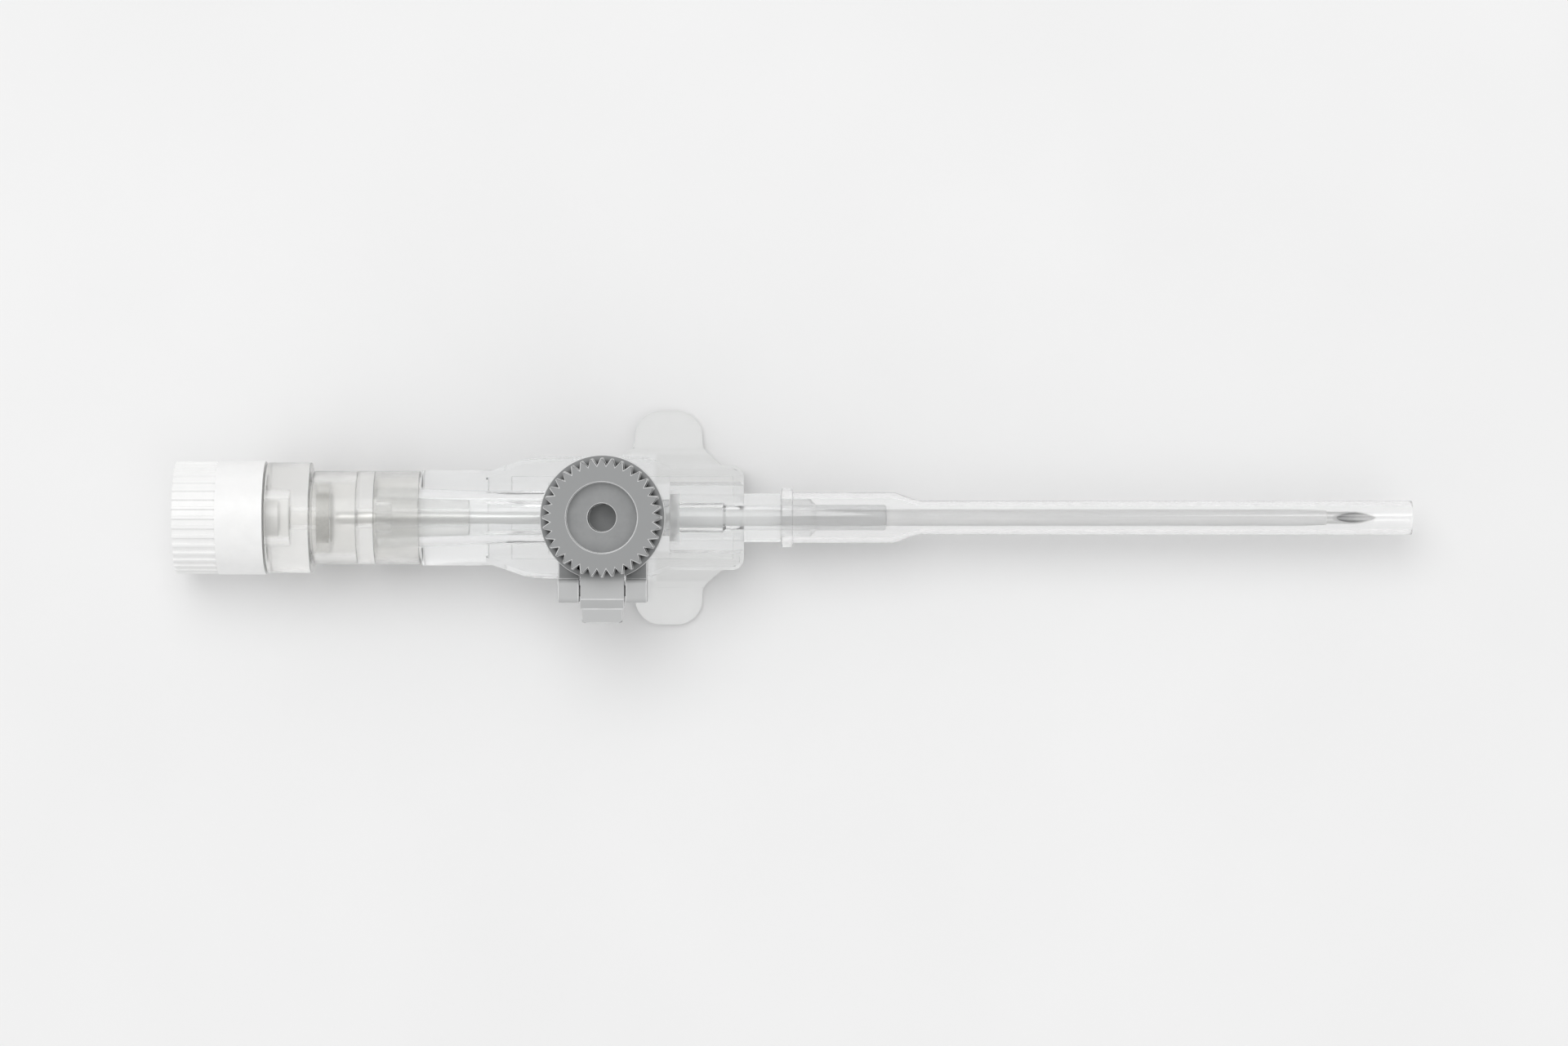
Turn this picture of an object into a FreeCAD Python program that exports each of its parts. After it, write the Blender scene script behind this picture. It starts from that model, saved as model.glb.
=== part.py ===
import FreeCAD, Part
import os
import re

import Sketcher

# Peripheral intravenous cannula, 16 gauge, with an injection port.
# All lengths are in millimetres.
# X runs along the catheter towards its tip, Z up through the port, Y away from the cap's hinge.
# The origin is on the wings' underside, straight below the port's axis.
# Each piece is drawn about the hub's axis and lifted by axis_height.

doc = FreeCAD.newDocument("intravenous_cannula")
sheet = doc.addObject("Spreadsheet::Sheet", "sizes")

SIZES = [
    ("axis_height", 5.8, "hub axis above the wings' underside"),
    ("luer_slope", 0.03, "radius change per length of a 6 percent luer taper"),
    ("luer_mouth_radius", 2.15, "radius of a female luer socket at its mouth"),
    ("luer_gap", 0.04, "radial clearance between male and female luer cones"),
    ("run_gap", 0.05, "radial clearance of pieces that turn or slide"),
    ("set_gap", 0.02, "radial clearance of pieces fixed in each other"),
    ("face_gap", 0.2, "axial clearance between faces that come apart"),
    ("cut_overrun", 1.0, "how far a cutting outline reaches past the solid"),
    ("lug_radius", 3.75, "reach of the luer lugs from the axis"),
    ("lug_half_width", 1.5, "half width of a luer lug"),
    ("lug_length", 1.6, "length of a luer lug along the axis"),
    ("lug_root", 0.4, "how deep a lug's root lies in the neck"),
    ("lug_count", 2.0, "number of luer lugs on a neck"),
    ("neck_radius", 3.1, "outside radius of a luer neck"),
    ("hub_rear", -23.2, "rear face of the catheter hub"),
    ("shoulder_x", -18.6, "shoulder where the hub's barrel starts"),
    ("barrel_radius", 4.9, "radius of the hub's barrel"),
    ("barrel_end", -5.6, "where the barrel ends inside the port block"),
    ("core_radius", 2.5, "radius of the tube from the port to the guard's stop"),
    ("nose_start", 14.2, "front face of the wing block"),
    ("nose_stop_x", 18.0, "shoulder that stops the needle guard"),
    ("seat_radius", 1.95, "radius of the seat that the guard is pushed on"),
    ("seat_end", 21.0, "front end of the guard's seat"),
    ("nose_thin_x", 21.6, "where the slender nose starts"),
    ("nose_radius", 1.33, "radius of the slender nose"),
    ("nose_tip", 28.75, "front end of the nose"),
    ("nose_tip_radius", 1.12, "radius at the nose's bevelled end"),
    ("nose_tip_taper", 0.25, "length of the nose's bevelled end"),
    ("luer_depth", 9.6, "depth of the hub's rear luer socket"),
    ("flare_start", 7.2, "rear end of the catheter's seat in the hub"),
    ("flare_end", 12.1, "front end of the catheter's flared part"),
    ("flare_taper", 0.3, "length of the taper from flared to plain catheter"),
    ("block_rear_x", -12.0, "rear end of the port block"),
    ("block_rear_step", 1.6, "how far the block's rear lies inside its widest part"),
    ("block_mid_x", -8.3, "second corner of the port block"),
    ("block_mid_step", 0.3, "how far that corner lies inside the widest part"),
    ("block_wide_x", -6.2, "rear end of the widest part"),
    ("block_reach", 1.3, "how far the widest part stands out beyond the barrel"),
    ("block_wide_end", 4.4, "front end of the widest part"),
    ("block_top", 3.0, "height of the port block above the hub axis"),
    ("block_corner", 2.5, "rounding of the port block's upright corners"),
    ("block_round", 0.5, "bevel of the port block's upper edges"),
    ("front_rear_x", 6.7, "rear end of the wing block"),
    ("front_step", 0.87, "how far the wing block lies inside the port block's widest part"),
    ("front_top", 0.6, "height of the wing block's floor above the hub axis"),
    ("rail_width", 2.03, "width of each rail"),
    ("rail_top", 2.4, "height of the rails above the hub axis"),
    ("rail_bevel", 0.35, "bevel of the rails' upper edges"),
    ("front_corner", 1.1, "rounding of the wing block's front corners"),
    ("wing_thick", 0.9, "thickness of the wings"),
    ("wing_root_rear", -1.0, "rear end of a wing at its root"),
    ("wing_root_front", 12.4, "front end of a wing at its root"),
    ("wing_rear", 3.0, "rear edge of a wing"),
    ("wing_front", 9.9, "front edge of a wing"),
    ("wing_reach", 4.8, "reach of a wing beyond the port block"),
    ("wing_tip_round", 2.6, "rounding of a wing's corners"),
    ("wing_sweep_round", 1.6, "rounding where a wing meets its root"),
    ("wing_sweep_share", 0.75, "share of that rounding left straight at the wing's side"),
    ("wing_sweep_width", 2.2, "width of the swept stretch between wing and root"),
    ("wing_groove_gap", 0.2, "gap between the port block and the bending groove"),
    ("wing_groove_width", 0.8, "width of the bending groove"),
    ("wing_groove_depth", 0.35, "depth of the bending groove"),
    ("core_rear_start", -9.6, "rear end of the cored underside"),
    ("core_rib_half", 1.4, "half width of the rib below the port"),
    ("core_wall", 1.1, "wall in front of and beside the cored underside"),
    ("core_depth", 2.7, "depth of the cored underside"),
    ("tower_ledge", 1.0, "how far the port tower's foot lies inside the block's widest part"),
    ("tower_foot_top", 4.3, "top of the tower's foot"),
    ("tower_root", 1.2, "how far the tower's core reaches below the port's floor"),
    ("collar_seat_radius", 4.1, "radius of the tower inside the collar"),
    ("collar_seat_top", 6.9, "top of the collar's seat"),
    ("lip_radius", 4.32, "radius of the lip that keeps the collar on"),
    ("lip_height", 0.3, "height of that lip"),
    ("rim_radius", 3.7, "outside radius of the port's rim"),
    ("rim_top", 8.4, "top of the port's rim above the hub axis"),
    ("port_floor", 2.6, "floor of the port's socket above the hub axis"),
    ("port_hole_radius", 1.1, "radius of the hole from the port to the lumen"),
    ("key_half", 0.6, "half width of the key that stops the collar turning"),
    ("key_root", 0.4, "how deep the key's root lies in the tower"),
    ("key_reach", 4.7, "reach of that key from the port's axis"),
    ("key_top", 5.5, "top of that key"),
    ("key_gap", 0.06, "clearance of the key in the collar"),
    ("sleeve_half_length", 4.3, "half length of the valve sleeve"),
    ("sleeve_inner", 1.25, "bore radius of the valve sleeve"),
    ("needle_radius", 0.63, "outside radius of the needle"),
    ("needle_bore", 0.48, "bore radius of the needle"),
    ("needle_rear", -27.4, "rear end of the needle"),
    ("needle_tip", 79.2, "point of the needle"),
    ("bevel_length", 4.9, "length of the needle's bevel"),
    ("lancet_length", 2.3, "length of the two side facets"),
    ("lancet_angle", 32.0, "turn of each side facet about the axis"),
    ("lancet_slope", 20.5, "slope of each side facet"),
    ("eyelet_rear", 6.75, "rear end of the eyelet"),
    ("eyelet_flange", 0.4, "thickness of the eyelet's rear flange"),
    ("eyelet_flange_radius", 1.28, "radius of that flange"),
    ("eyelet_outer", 0.83, "outside radius of the eyelet's tube"),
    ("eyelet_inner", 0.7, "inside radius of the eyelet's tube"),
    ("catheter_outer", 0.85, "outside radius of the catheter"),
    ("catheter_inner", 0.68, "inside radius of the catheter"),
    ("catheter_tip", 73.75, "tip of the catheter"),
    ("tip_taper", 2.8, "length of the catheter's tapered tip"),
    ("tip_radius", 0.74, "outside radius at the tip's end"),
    ("flare_outer", 1.04, "outside radius of the flared part"),
    ("skirt_front", -18.8, "front rim of the needle hub's skirt"),
    ("skirt_radius", 4.78, "outside radius of the needle hub"),
    ("skirt_bore", 4.25, "bore radius of the skirt"),
    ("web_front", -23.45, "front face of the web inside the needle hub"),
    ("web_rear", -25.2, "rear face of that web"),
    ("chamber_rear", -29.7, "rear end of the needle hub"),
    ("chamber_bore", 3.7, "bore radius of the flash chamber"),
    ("male_end", -13.75, "front end of the male luer nose"),
    ("flange_rear", -34.4, "rear face of the rear piece's push flange"),
    ("flange_front", -29.9, "front face of the push flange"),
    ("flange_radius", 5.65, "radius of the push flange"),
    ("spigot_front", -27.9, "front end of the spigot in the flash chamber"),
    ("neck_rear", -39.6, "rear face of the rear piece's luer neck"),
    ("rear_luer_depth", 7.6, "depth of the rear luer socket"),
    ("vent_hole_radius", 0.8, "radius of the hole behind the filter"),
    ("filter_radius", 2.6, "radius of the vent filter"),
    ("filter_thick", 1.4, "thickness of the vent filter"),
    ("plug_rear", -43.75, "rear end of the plug"),
    ("plug_front", -34.6, "front rim of the plug's collar"),
    ("plug_radius", 5.8, "radius of the plug's collar"),
    ("plug_grip_end", -39.4, "front end of the ribbed grip"),
    ("plug_grip_radius", 5.5, "radius of the grip between its ribs"),
    ("plug_web_front", -39.9, "front face of the web inside the collar"),
    ("plug_collar_bore", 4.2, "bore radius of the collar"),
    ("plug_core_front", -33.2, "front end of the plug's male cone"),
    ("plug_core_hole", 1.2, "radius of the moulded hole in the plug's rear"),
    ("plug_core_depth", 7.0, "depth of that hole"),
    ("plug_rib_count", 36.0, "number of grip ribs"),
    ("plug_rib_reach", 5.74, "reach of the grip ribs from the axis"),
    ("plug_rib_half", 0.26, "half width of a grip rib at its root"),
    ("plug_rib_tip_half", 0.12, "half width of a grip rib at its crest"),
    ("plug_rib_root", 0.2, "how deep a rib's root lies in the grip"),
    ("cap_flange_radius", 6.32, "radius of the cap's thin flange"),
    ("cap_bottom", 7.3, "underside of the flange above the hub axis"),
    ("cap_flange_thick", 0.5, "thickness of the flange"),
    ("cap_top", 10.8, "top of the cap above the hub axis"),
    ("cap_tooth_radius", 5.98, "radius over the teeth"),
    ("cap_root_radius", 5.22, "radius at the bottom of the notches"),
    ("cap_tooth_count", 36.0, "number of notches"),
    ("cap_notch_half", 0.45, "half width of a notch at the teeth's tips"),
    ("cap_cavity_radius", 4.6, "radius of the cavity over the port's rim"),
    ("cap_cavity_top", 8.55, "ceiling of the cavity above the hub axis"),
    ("cap_recess_radius", 3.6, "radius of the recess in the cap's top"),
    ("cap_recess_depth", 1.1, "depth of that recess"),
    ("cap_hole_radius", 1.45, "radius of the blind hole in the recess"),
    ("cap_hole_floor", 6.9, "floor of the blind hole above the hub axis"),
    ("stopper_radius", 1.97, "radius of the cap's stopper"),
    ("stopper_tip_radius", 1.74, "radius of the stopper at its end"),
    ("stopper_bevel", 0.25, "height of the stopper's bevelled end"),
    ("stopper_bottom", 6.1, "lower end of the stopper above the hub axis"),
    ("hinge_y", -7.4, "hinge axis from the port's axis"),
    ("hinge_z", 7.3, "hinge axis above the hub axis"),
    ("knuckle_radius", 1.18, "radius of the strap's hinge knuckle"),
    ("knuckle_share", 0.7, "share of that radius at which the strap's underside meets it"),
    ("pin_radius", 0.55, "radius of the hinge pin"),
    ("pin_inset", 0.1, "how far the pin's ends lie inside the ears"),
    ("strap_half", 2.2, "half width of the strap"),
    ("strap_top", 8.5, "top of the strap above the hub axis"),
    ("strap_inner", -4.9, "where the strap meets the cap"),
    ("strap_outer", -8.25, "where the strap's top starts to slope down to the tab"),
    ("strap_foot", -9.2, "where that slope meets the thumb tab"),
    ("tab_half", 2.05, "half width of the thumb tab"),
    ("tab_outer", -10.64, "outer end of the thumb tab"),
    ("tab_top", 7.75, "top of the tab above the hub axis"),
    ("tab_thick", 0.85, "thickness of the tab"),
    ("tab_round", 0.3, "rounding of the tab's corners"),
    ("ear_inner", 2.35, "inner face of an ear from the middle plane"),
    ("ear_outer", 4.52, "outer face of an ear from the middle plane"),
    ("ear_round", 0.55, "rounding of an ear's upper edges"),
    ("ear_arm_root", 2.7, "where the ears' arms start inside the ring"),
    ("ear_arm_bottom", 5.0, "underside of the ears and their arms above the hub axis"),
    ("collar_outer", 5.3, "outside radius of the collar ring"),
    ("collar_bottom", 4.45, "underside of the collar ring above the hub axis"),
    ("collar_top", 6.8, "top of the collar ring above the hub axis"),
    ("guard_stop_gap", 0.1, "gap between the hub's stop and the needle guard"),
    ("guard_base_radius", 3.0, "radius of the guard's base rim"),
    ("guard_base_width", 1.1, "width of the base rim"),
    ("guard_socket_radius", 2.6, "outside radius of the guard's socket"),
    ("guard_nose_run", 0.85, "how far the socket reaches past the nose"),
    ("guard_shoulder", 2.5, "length of the taper from the socket to the guard's tube"),
    ("guard_wall", 0.5, "wall of the guard"),
    ("guard_end", 82.5, "open end of the guard"),
    ("guard_end_radius", 1.74, "outside radius of the guard's straight tube"),
]

VALUES = {}
for row, (alias, value, note) in enumerate(SIZES, start=1):
    sheet.set("A%d" % row, note)
    sheet.set("B%d" % row, str(value))
    sheet.setAlias("B%d" % row, alias)
    VALUES[alias] = value
doc.recompute()
working = doc.addObject("Spreadsheet::Sheet", "working")
NUMBERS = {}

PLANES = {"side": "XZ_Plane", "plan": "XY_Plane", "end": "YZ_Plane"}
BLOCK_CORNERS = ("block_mid_x", "block_wide_x", "block_wide_end")
ORIGIN_POINT = (-1, 1)
ORIGIN_AXES = {"DistanceX": -2, "DistanceY": -1}
POINTS = {"start": 1, "end": 2, "centre": 3}
FULL_TURN = 360.0
SLACK = 1e-4


def bound(rule):
    """Write a rule in size names as an expression on the sheet."""
    return re.sub(r"[a-z_]+", lambda m: "sizes." + m.group(0) if m.group(0) in VALUES else m.group(0), rule)


def number(rule):
    """Work out a rule in size names as a number."""
    if rule in VALUES:
        return VALUES[rule]
    if rule not in NUMBERS:
        working.set("A1", "=" + bound(rule))
        working.recompute()
        NUMBERS[rule] = float(working.get("A1"))
    return NUMBERS[rule]


def new_body(label):
    body = doc.addObject("PartDesign::Body", label)
    body.Label = label
    body.setExpression(".Placement.Base.z", bound("axis_height"))
    return body


def plane_of(body, name):
    for item in body.Origin.OriginFeatures:
        if item.Role == PLANES[name]:
            return item
    raise ValueError(name)


def new_sketch(body, name, plane, lift=None, turn=None):
    sketch = body.newObject("Sketcher::SketchObject", name)
    sketch.AttachmentSupport = [(plane_of(body, plane), "")]
    sketch.MapMode = "FlatFace"
    if turn is not None:
        axis, angle = turn
        sketch.AttachmentOffset = FreeCAD.Placement(FreeCAD.Vector(), FreeCAD.Rotation(axis, number(angle)))
        sketch.setExpression(".AttachmentOffset.Rotation.Angle", "(%s) * 1 deg" % bound(angle))
    if lift is not None:
        sketch.setExpression(".AttachmentOffset.Base.z", bound(lift))
    return sketch


def tied(sketch, index, point, kind, value, rule):
    """Tie a line's start or a circle's centre to the sketch's origin by a size rule."""
    if rule == "0":
        sketch.addConstraint(Sketcher.Constraint("PointOnObject", index, POINTS[point], ORIGIN_AXES[kind]))
        return
    row = sketch.addConstraint(Sketcher.Constraint(kind, *ORIGIN_POINT, index, POINTS[point], value))
    sketch.setExpression("Constraints[%d]" % row, bound(rule))


def outline(body, name, plane, points, lift=None, turn=None):
    """Draw a closed outline whose corners follow the sizes."""
    sketch = new_sketch(body, name, plane, lift, turn)
    places = [(number(a), number(b)) for a, b in points]
    count = len(places)
    for index in range(count):
        start = places[index]
        end = places[(index + 1) % count]
        line = Part.LineSegment(FreeCAD.Vector(start[0], start[1], 0), FreeCAD.Vector(end[0], end[1], 0))
        sketch.addGeometry(line, False)
    for index in range(count):
        after = (index + 1) % count
        sketch.addConstraint(Sketcher.Constraint("Coincident", index, POINTS["end"], after, POINTS["start"]))
    for index, (across, up) in enumerate(points):
        tied(sketch, index, "start", "DistanceX", places[index][0], across)
        tied(sketch, index, "start", "DistanceY", places[index][1], up)
    return sketch


def circle(body, name, plane, across, up, radius, lift=None, turn=None):
    """Draw a circle whose centre and radius follow the sizes."""
    sketch = new_sketch(body, name, plane, lift, turn)
    centre = FreeCAD.Vector(number(across), number(up), 0)
    sketch.addGeometry(Part.Circle(centre, FreeCAD.Vector(0, 0, 1), number(radius)), False)
    row = sketch.addConstraint(Sketcher.Constraint("Radius", 0, number(radius)))
    sketch.setExpression("Constraints[%d]" % row, bound(radius))
    tied(sketch, 0, "centre", "DistanceX", centre.x, across)
    tied(sketch, 0, "centre", "DistanceY", centre.y, up)
    return sketch


def feature(body, kind, name, sketch):
    item = body.newObject("PartDesign::" + kind, name)
    item.Profile = sketch
    sketch.Visibility = False
    return item


def turned(body, kind, name, sketch, axis):
    """A revolved piece or a revolved cut about the sketch's H_Axis or V_Axis."""
    item = feature(body, kind, name, sketch)
    item.ReferenceAxis = (sketch, [axis])
    item.Angle = FULL_TURN
    body.Tip = item
    doc.recompute()
    return item


def pushed(body, kind, name, sketch, length, backwards=False, middle=False):
    """A pad or a pocket of a length that follows the sizes."""
    item = feature(body, kind, name, sketch)
    item.setExpression("Length", bound(length))
    item.Reversed = backwards
    if middle:
        item.SideType = "Symmetric"
    body.Tip = item
    doc.recompute()
    return item


def eased(body, kind, name, size, picker):
    """A fillet or chamfer on the edges that the picker accepts."""
    base = body.Tip
    chosen = ["Edge%d" % (i + 1) for i, edge in enumerate(base.Shape.Edges) if picker(edge)]
    if not chosen:
        raise ValueError(name)
    item = body.newObject("PartDesign::" + kind, name)
    item.Base = (base, chosen)
    if kind == "Fillet":
        item.setExpression("Radius", bound(size))
    else:
        item.setExpression("Size", bound(size))
    body.Tip = item
    doc.recompute()
    return item


def ringed(body, name, original, axis_role, count):
    """Repeat a cut or pad evenly round one of the body's own axes."""
    item = body.newObject("PartDesign::PolarPattern", name)
    item.Originals = [original]
    axis = [a for a in body.Origin.OriginFeatures if a.Role == axis_role][0]
    item.Axis = (axis, [""])
    item.Angle = FULL_TURN
    item.setExpression("Occurrences", bound(count))
    body.Tip = item
    doc.recompute()
    return item


def level(edge, height):
    """Whether a whole edge lies at one height above the hub axis."""
    box = edge.BoundBox
    return abs(box.ZMin - height) < SLACK and abs(box.ZMax - height) < SLACK


def upright(edge):
    box = edge.BoundBox
    return box.XLength < SLACK and box.YLength < SLACK and box.ZLength > SLACK


def at_x(edge, place):
    box = edge.BoundBox
    return abs(box.XMin - place) < SLACK and abs(box.XMax - place) < SLACK


def beside(edge, distance):
    """Whether a whole edge lies at one distance to either side of the middle plane."""
    box = edge.BoundBox
    return abs(abs(box.YMin) - distance) < SLACK and abs(abs(box.YMax) - distance) < SLACK


def luer_radius(depth):
    """Radius of a female luer socket at a depth below its mouth."""
    return "(luer_mouth_radius - luer_slope * (%s))" % depth


BLOCK_WIDE = "(barrel_radius + block_reach)"
BLOCK_MID = "(%s - block_mid_step)" % BLOCK_WIDE
BLOCK_REAR = "(%s - block_rear_step)" % BLOCK_WIDE
FRONT_HALF = "(%s - front_step)" % BLOCK_WIDE
RAIL_INNER = "(%s - rail_width)" % FRONT_HALF
CORE_HALF = "(%s - core_wall)" % FRONT_HALF
TOWER_RADIUS = "(%s - tower_ledge)" % BLOCK_WIDE
WING_TIP = "(%s + wing_reach)" % BLOCK_WIDE
WING_MID = "(%s - wing_tip_round - wing_sweep_share * wing_sweep_round)" % WING_TIP
WING_ROOT = "(%s - wing_sweep_width)" % WING_MID
GROOVE_INNER = "(%s + wing_groove_gap)" % BLOCK_WIDE
GROOVE_OUTER = "(%s + wing_groove_width)" % GROOVE_INNER
LUMEN = luer_radius("luer_depth")
EAR_TOP = "hinge_z + knuckle_radius"
HALF_PITCH = "%s / (2 * cap_tooth_count)" % FULL_TURN
GUARD_BASE = "(nose_stop_x + guard_stop_gap)"
NOTCH_DEPTH = "(cap_tooth_radius - cap_root_radius)"
NOTCH_MOUTH = "cap_notch_half * (%s + cut_overrun) / %s" % (NOTCH_DEPTH, NOTCH_DEPTH)


# Wings, moulded with the hub
hub = new_body("catheter_hub")
pushed(hub, "Pad", "wings", outline(hub, "wing_outline", "plan", [
    ("wing_root_rear", "-" + WING_ROOT),
    ("wing_rear", "-" + WING_MID),
    ("wing_rear", "-" + WING_TIP),
    ("wing_front", "-" + WING_TIP),
    ("wing_front", "-" + WING_MID),
    ("wing_root_front", "-" + WING_ROOT),
    ("wing_root_front", WING_ROOT),
    ("wing_front", WING_MID),
    ("wing_front", WING_TIP),
    ("wing_rear", WING_TIP),
    ("wing_rear", WING_MID),
    ("wing_root_rear", WING_ROOT),
], lift="-axis_height"), "wing_thick")
eased(hub, "Fillet", "wing_corners", "wing_tip_round", lambda e: upright(e) and beside(e, number(WING_TIP)))
eased(hub, "Fillet", "wing_sweep", "wing_sweep_round", lambda e: upright(e) and beside(e, number(WING_MID)))
for side, sign in (("near", "-"), ("far", "")):
    pushed(hub, "Pocket", "wing_groove_" + side, outline(hub, "wing_groove_outline_" + side, "plan", [
        ("wing_root_rear", sign + GROOVE_INNER),
        ("wing_root_front", sign + GROOVE_INNER),
        ("wing_root_front", sign + GROOVE_OUTER),
        ("wing_root_rear", sign + GROOVE_OUTER),
    ], lift="wing_thick - axis_height"), "wing_groove_depth")

# Catheter hub: barrel, core tube and nose
turned(hub, "Revolution", "hub_barrel", outline(hub, "hub_barrel_outline", "side", [
    ("hub_rear", "0"),
    ("hub_rear", "neck_radius"),
    ("shoulder_x", "neck_radius"),
    ("shoulder_x", "barrel_radius"),
    ("barrel_end", "barrel_radius"),
    ("barrel_end", "core_radius"),
    ("nose_stop_x", "core_radius"),
    ("nose_stop_x", "seat_radius"),
    ("seat_end", "seat_radius"),
    ("nose_thin_x", "nose_radius"),
    ("nose_tip - nose_tip_taper", "nose_radius"),
    ("nose_tip", "nose_tip_radius"),
    ("nose_tip", "0"),
]), "H_Axis")

# Luer lugs at the hub's rear
pushed(hub, "Pad", "hub_lugs", outline(hub, "hub_lug_outline", "end", [
    ("-lug_half_width", "-lug_radius"),
    ("lug_half_width", "-lug_radius"),
    ("lug_half_width", "lug_radius"),
    ("-lug_half_width", "lug_radius"),
], lift="hub_rear"), "lug_length")

# Port block under the tower
pushed(hub, "Pad", "port_block", outline(hub, "port_block_outline", "plan", [
    ("block_rear_x", "-" + BLOCK_REAR),
    ("block_mid_x", "-" + BLOCK_MID),
    ("block_wide_x", "-" + BLOCK_WIDE),
    ("block_wide_end", "-" + BLOCK_WIDE),
    ("front_rear_x", "-" + FRONT_HALF),
    ("front_rear_x", FRONT_HALF),
    ("block_wide_end", BLOCK_WIDE),
    ("block_wide_x", BLOCK_WIDE),
    ("block_mid_x", BLOCK_MID),
    ("block_rear_x", BLOCK_REAR),
], lift="-axis_height"), "axis_height + block_top")
eased(hub, "Fillet", "port_block_corners", "block_corner",
      lambda e: upright(e) and any(at_x(e, VALUES[place]) for place in BLOCK_CORNERS))
eased(hub, "Chamfer", "port_block_soft", "block_round",
      lambda e: level(e, number("block_top")) and e.BoundBox.YMin * e.BoundBox.YMax > 0
      and abs(e.BoundBox.Center.y) > number(BLOCK_REAR))

# Wing block with a rail along each side
pushed(hub, "Pad", "wing_block", outline(hub, "wing_block_outline", "plan", [
    ("front_rear_x", "-" + FRONT_HALF),
    ("nose_start", "-" + FRONT_HALF),
    ("nose_start", FRONT_HALF),
    ("front_rear_x", FRONT_HALF),
], lift="-axis_height"), "axis_height + front_top")
for side, sign in (("near", "-"), ("far", "")):
    pushed(hub, "Pad", "rail_" + side, outline(hub, "rail_outline_" + side, "plan", [
        ("front_rear_x", sign + RAIL_INNER),
        ("nose_start", sign + RAIL_INNER),
        ("nose_start", sign + FRONT_HALF),
        ("front_rear_x", sign + FRONT_HALF),
    ], lift="-axis_height"), "axis_height + rail_top")
eased(hub, "Fillet", "wing_block_corners", "front_corner",
      lambda e: upright(e) and at_x(e, number("nose_start")) and beside(e, number(FRONT_HALF)))
eased(hub, "Chamfer", "rail_soft", "rail_bevel",
      lambda e: level(e, number("rail_top")) and not at_x(e, number("front_rear_x")))

# The underside is cored out on both sides of a rib below the port
for place, back, front in (
    ("rear", "core_rear_start", "-core_rib_half"),
    ("front", "core_rib_half", "nose_start - core_wall"),
):
    pushed(hub, "Pocket", "underside_core_" + place, outline(hub, "core_outline_" + place, "plan", [
        (back, "-" + CORE_HALF),
        (front, "-" + CORE_HALF),
        (front, CORE_HALF),
        (back, CORE_HALF),
    ], lift="-axis_height"), "core_depth", backwards=True)

# Port tower
turned(hub, "Revolution", "port_tower", outline(hub, "port_tower_outline", "side", [
    ("0", "port_floor - tower_root"),
    (TOWER_RADIUS, "port_floor - tower_root"),
    (TOWER_RADIUS, "tower_foot_top"),
    ("collar_seat_radius", "tower_foot_top"),
    ("collar_seat_radius", "collar_seat_top"),
    ("lip_radius", "collar_seat_top"),
    ("lip_radius", "collar_seat_top + lip_height"),
    ("rim_radius", "collar_seat_top + lip_height"),
    ("rim_radius", "rim_top"),
    ("0", "rim_top"),
]), "V_Axis")
pushed(hub, "Pad", "collar_key", outline(hub, "collar_key_outline", "plan", [
    ("-key_half", "collar_seat_radius - key_root"),
    ("key_half", "collar_seat_radius - key_root"),
    ("key_half", "key_reach"),
    ("-key_half", "key_reach"),
], lift="tower_foot_top"), "key_top - tower_foot_top")

# Lumen from the rear luer socket to the nose
turned(hub, "Groove", "hub_lumen", outline(hub, "hub_lumen_outline", "side", [
    ("hub_rear - face_gap", "0"),
    ("hub_rear - face_gap", luer_radius("-face_gap")),
    ("hub_rear + luer_depth", LUMEN),
    ("flare_start", LUMEN),
    ("flare_start", "flare_outer + set_gap"),
    ("flare_end", "flare_outer + set_gap"),
    ("flare_end + flare_taper", "catheter_outer + set_gap"),
    ("nose_tip + face_gap", "catheter_outer + set_gap"),
    ("nose_tip + face_gap", "0"),
]), "H_Axis")

# Injection port socket and the hole from it to the lumen
turned(hub, "Groove", "port_socket", outline(hub, "port_socket_outline", "side", [
    ("0", LUMEN + " - cut_overrun"),
    ("port_hole_radius", LUMEN + " - cut_overrun"),
    ("port_hole_radius", "port_floor"),
    (luer_radius("rim_top - port_floor"), "port_floor"),
    (luer_radius("-face_gap"), "rim_top + face_gap"),
    ("0", "rim_top + face_gap"),
]), "V_Axis")

# Valve sleeve that closes the port's hole from inside
sleeve = new_body("valve_sleeve")
turned(sleeve, "Revolution", "sleeve_wall", outline(sleeve, "sleeve_outline", "side", [
    ("-sleeve_half_length", "sleeve_inner"),
    ("sleeve_half_length", "sleeve_inner"),
    ("sleeve_half_length", LUMEN + " - set_gap"),
    ("-sleeve_half_length", LUMEN + " - set_gap"),
]), "H_Axis")

# Steel eyelet that wedges the catheter
eyelet = new_body("catheter_eyelet")
turned(eyelet, "Revolution", "eyelet_wall", outline(eyelet, "eyelet_outline", "side", [
    ("eyelet_rear", "eyelet_inner"),
    ("flare_end", "eyelet_inner"),
    ("flare_end", "eyelet_outer"),
    ("eyelet_rear + eyelet_flange", "eyelet_outer"),
    ("eyelet_rear + eyelet_flange", "eyelet_flange_radius"),
    ("eyelet_rear", "eyelet_flange_radius"),
]), "H_Axis")

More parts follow.
